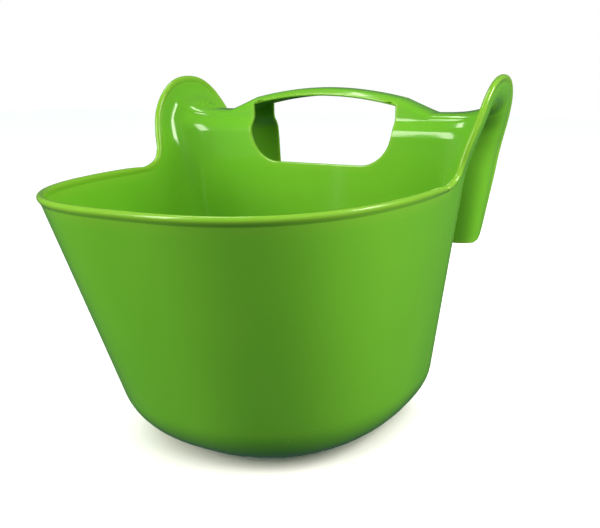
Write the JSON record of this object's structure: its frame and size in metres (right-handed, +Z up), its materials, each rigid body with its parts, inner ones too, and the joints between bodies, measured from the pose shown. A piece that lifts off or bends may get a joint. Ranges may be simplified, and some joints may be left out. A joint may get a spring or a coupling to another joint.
{
  "type": "hook-on picking tub",
  "caption": "Rigid D-shaped picking tub with a raised back, a carry handle over a hand hole, and flared hooks that hang it on a rail or board.",
  "frame": {"origin": "centre of the flat underside of the base", "axes": "+Z up, tub front faces -Y, hooks at +Y, +X to the right seen from the front"},
  "size_m": [0.3316, 0.3751, 0.296],
  "materials": {
    "tub_plastic": "smooth glossy lime-green polypropylene",
    "bead_plastic": "the same plastic, paler and yellower where the edge is thin"
  },
  "bodies": {
    "root": {"tub_base": "tub_plastic", "tub_wall": "tub_plastic", "back_panel": "tub_plastic", "hook_saddle_left": "tub_plastic", "hook_saddle_right": "tub_plastic", "hook_leg_left": "tub_plastic", "hook_leg_right": "tub_plastic", "carry_handle": "tub_plastic", "rim_bead": "bead_plastic", "ear_bead_left": "bead_plastic", "ear_bead_right": "bead_plastic"}
  },
  "joints": []
}
